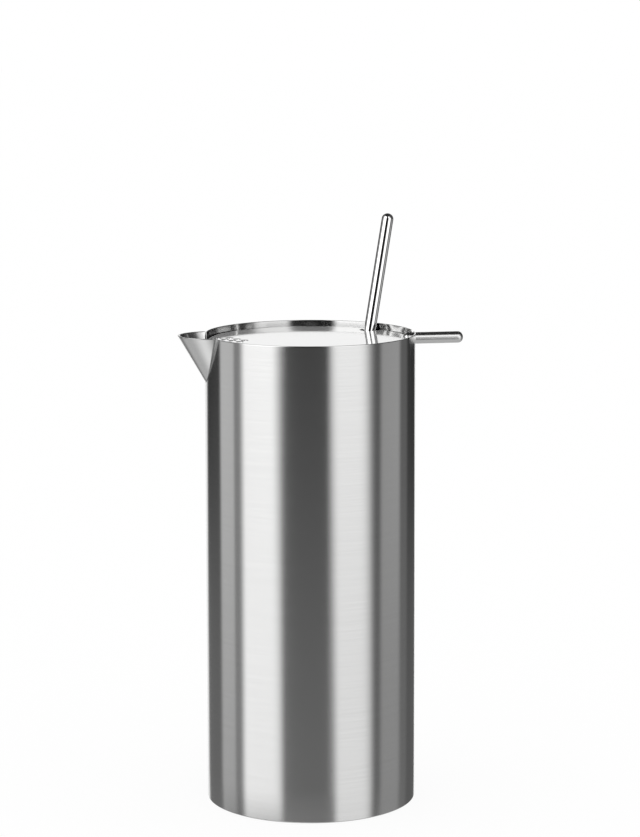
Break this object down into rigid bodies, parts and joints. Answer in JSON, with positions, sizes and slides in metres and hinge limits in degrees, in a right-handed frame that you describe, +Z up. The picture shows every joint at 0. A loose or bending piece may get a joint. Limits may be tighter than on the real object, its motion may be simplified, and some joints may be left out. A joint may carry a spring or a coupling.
{
  "type": "cocktail pitcher",
  "caption": "Tall cylindrical steel mixing pitcher with a conical spout, a lift-out perforated strainer with a rod handle that lies in the rim, and a long stirring spoon.",
  "frame": {"origin": "middle of the underside of the base", "axes": "+Z up along the body's axis, -X towards the spout, +X along the strainer's handle"},
  "size_m": [0.1191, 0.087, 0.2419],
  "materials": {
    "brushed_steel": "brushed round the body",
    "bright_steel": "bright polished",
    "satin_steel": "satin, brushed along the rod",
    "polished_steel": "mirror polished"
  },
  "bodies": {
    "pitcher": {"body_tube": "brushed_steel", "base_plate": "brushed_steel", "spout": "brushed_steel", "seat_lugs": "brushed_steel"},
    "strainer": {"strainer_disc": "bright_steel", "strainer_skirt": "bright_steel", "strainer_handle": "satin_steel"},
    "spoon": {"spoon_rod": "polished_steel", "spoon_bowl": "polished_steel"}
  },
  "joints": [
    {"name": "strainer_lift", "type": "slide", "parent": "pitcher", "child": "strainer", "axis": [0, 0, 1], "range_m": [0, 0.05]},
    {"name": "spoon_lift", "type": "slide", "parent": "pitcher", "child": "spoon", "axis": [0.1895, 0.1607, 0.9686], "range_m": [0, 0.14]}
  ]
}
